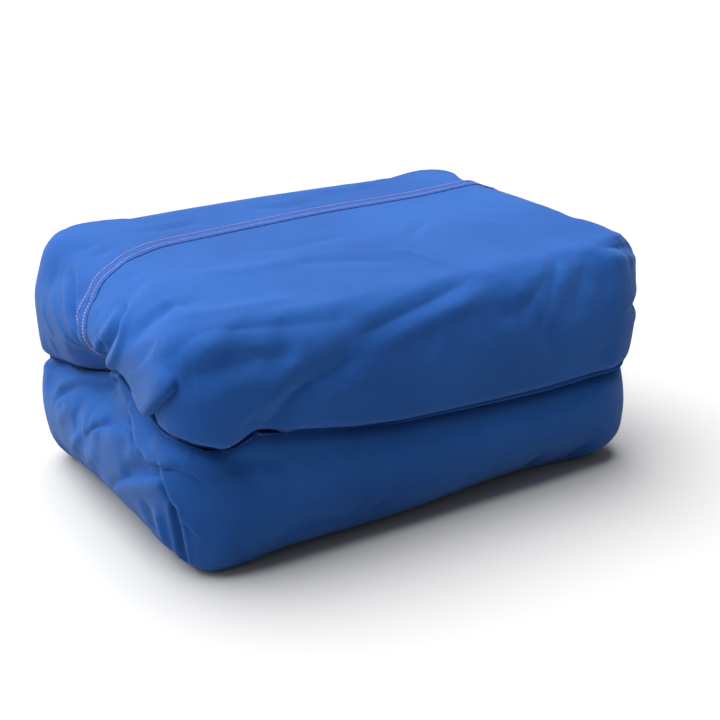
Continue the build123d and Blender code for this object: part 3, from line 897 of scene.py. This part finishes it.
thread = plain_finish("seam_thread", (0.46, 0.27, 0.50), 0.55, 1500.0, 0.1 * MM)
skin = surface_of(upper)
seam = seam_frame(skin, SEAM_PATH)
lap = seam_lap(skin, seam)
front_row = at_offset(skin, seam, 0, ROW_HEIGHTS[0])
back_row = at_offset(skin, seam, ROW_GAP, ROW_HEIGHTS[1])
topstitching = stitches("seam_stitches", [front_row, back_row], seam[1])
lap.data.materials.append(cloth)
topstitching.data.materials.append(thread)
SEAM_PIECES = (
    (lap, "seam_lap", "cover_cloth"),
    (topstitching, "seam_topstitching", "seam_thread"),
)
for piece, node, slot in SEAM_PIECES:
    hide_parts(node)
    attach(piece, "upper_half")

spine_places = spine_grid([skin, surface_of(lower)])
back = spine(spine_places)
back.data.materials.append(cloth)
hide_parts("spine_panel")
spine_low, spine_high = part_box("spine_panel")
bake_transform(back)
SPINE_ROWS = (
    (spine_low.z + SPINE_ROW_INSET, "spine_stitches_lower", "lower_half"),
    (spine_high.z - SPINE_ROW_INSET, "spine_stitches_upper", "upper_half"),
)
for height, name, body in SPINE_ROWS:
    row, outward = spine_row(spine_places, height)
    piece = stitches(name, [row], outward)
    piece.data.materials.append(thread)
    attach(piece, body)

# ------------------------------------------------------------------ finishes of the CAD parts
FINISHES = {
    "wadding": dict(colour=(0.72, 0.72, 0.70), roughness=0.95, grain=300.0, depth=0.6 * MM),
    "casing_scrim": dict(colour=(0.60, 0.60, 0.62), roughness=0.85, grain=900.0, depth=0.1 * MM),
    "reflector_film": dict(colour=(0.80, 0.80, 0.82), roughness=0.25, grain=60, depth=0.3 * MM, metallic=1),
    "heating_pad": dict(colour=(0.03, 0.03, 0.035), roughness=0.6, grain=400.0, depth=0.1 * MM),
    "ribbon_silicone": dict(colour=(0.42, 0.06, 0.03), roughness=0.45, grain=120.0),
    "felt": dict(colour=(0.35, 0.36, 0.38), roughness=0.95, grain=700.0, depth=0.4 * MM),
    "liner_film": dict(colour=(0.02, 0.025, 0.035), roughness=0.35, grain=90.0, depth=0.2 * MM),
    "hook_tape": dict(colour=(0.012, 0.03, 0.14), roughness=0.7, grain=1200.0, depth=0.5 * MM),
    "loop_tape": dict(colour=(0.014, 0.035, 0.16), roughness=0.95, grain=900.0, depth=0.6 * MM),
    "inlet_plastic": dict(colour=(0.018, 0.018, 0.020), roughness=0.38, grain=1500.0, depth=0.03 * MM),
    "inlet_rubber": dict(colour=(0.012, 0.012, 0.012), roughness=0.8, grain=500.0, depth=0.05 * MM),
    "contact_metal": dict(colour=(0.86, 0.72, 0.40), roughness=0.25, grain=300.0, metallic=1, spread=0.05),
    "screw_steel": dict(colour=(0.62, 0.62, 0.64), roughness=0.28, grain=400.0, metallic=1, spread=0.06),
    "plate_steel": dict(colour=(0.55, 0.56, 0.58), roughness=0.4, grain=200.0, metallic=1, spread=0.08),
    "lead_insulation": dict(colour=(0.30, 0.31, 0.33), roughness=0.5, grain=300.0),
    "cutout_ceramic": dict(colour=(0.75, 0.74, 0.70), roughness=0.5, grain=500.0, depth=0.05 * MM),
    "sensor_resin": dict(colour=(0.05, 0.10, 0.06), roughness=0.3, grain=400.0),
}
# Which finish each CAD node has, by a word in its name; the inlet's housing and nut have the plastic
PARTS = {
    "sheet_wadding": "wadding",
    "wadding_casing": "casing_scrim",
    "reflector_foil": "reflector_film",
    "heating_pads": "heating_pad",
    "supply_ribbons": "ribbon_silicone",
    "moisture_felt": "felt",
    "waterproof_liner": "liner_film",
    "hook_tape": "hook_tape",
    "loop_tape": "loop_tape",
    "inlet_gasket": "inlet_rubber",
    "inlet_contacts": "contact_metal",
    "inlet_screws": "screw_steel",
    "inlet_backing_plates": "plate_steel",
    "inlet_leads": "lead_insulation",
    "thermal_cutout": "cutout_ceramic",
    "temperature_sensor": "sensor_resin",
    "outer_cover": "cover_cloth",
    "spine_panel": "cover_cloth",
    "seam_lap": "cover_cloth",
    "seam_topstitching": "seam_thread",
}


def finish_name(node):
    for word, finish in PARTS.items():
        if word in node:
            return finish
    return "inlet_plastic"


materials = {name: plain_finish(name, **look) for name, look in FINISHES.items()}
materials["cover_cloth"] = cloth
materials["seam_thread"] = thread
for node, piece in frame["nodes"].items():
    material = materials[finish_name(node)]
    if not piece.material_slots:
        piece.data.materials.append(material)
    for place in piece.material_slots:
        place.material = material
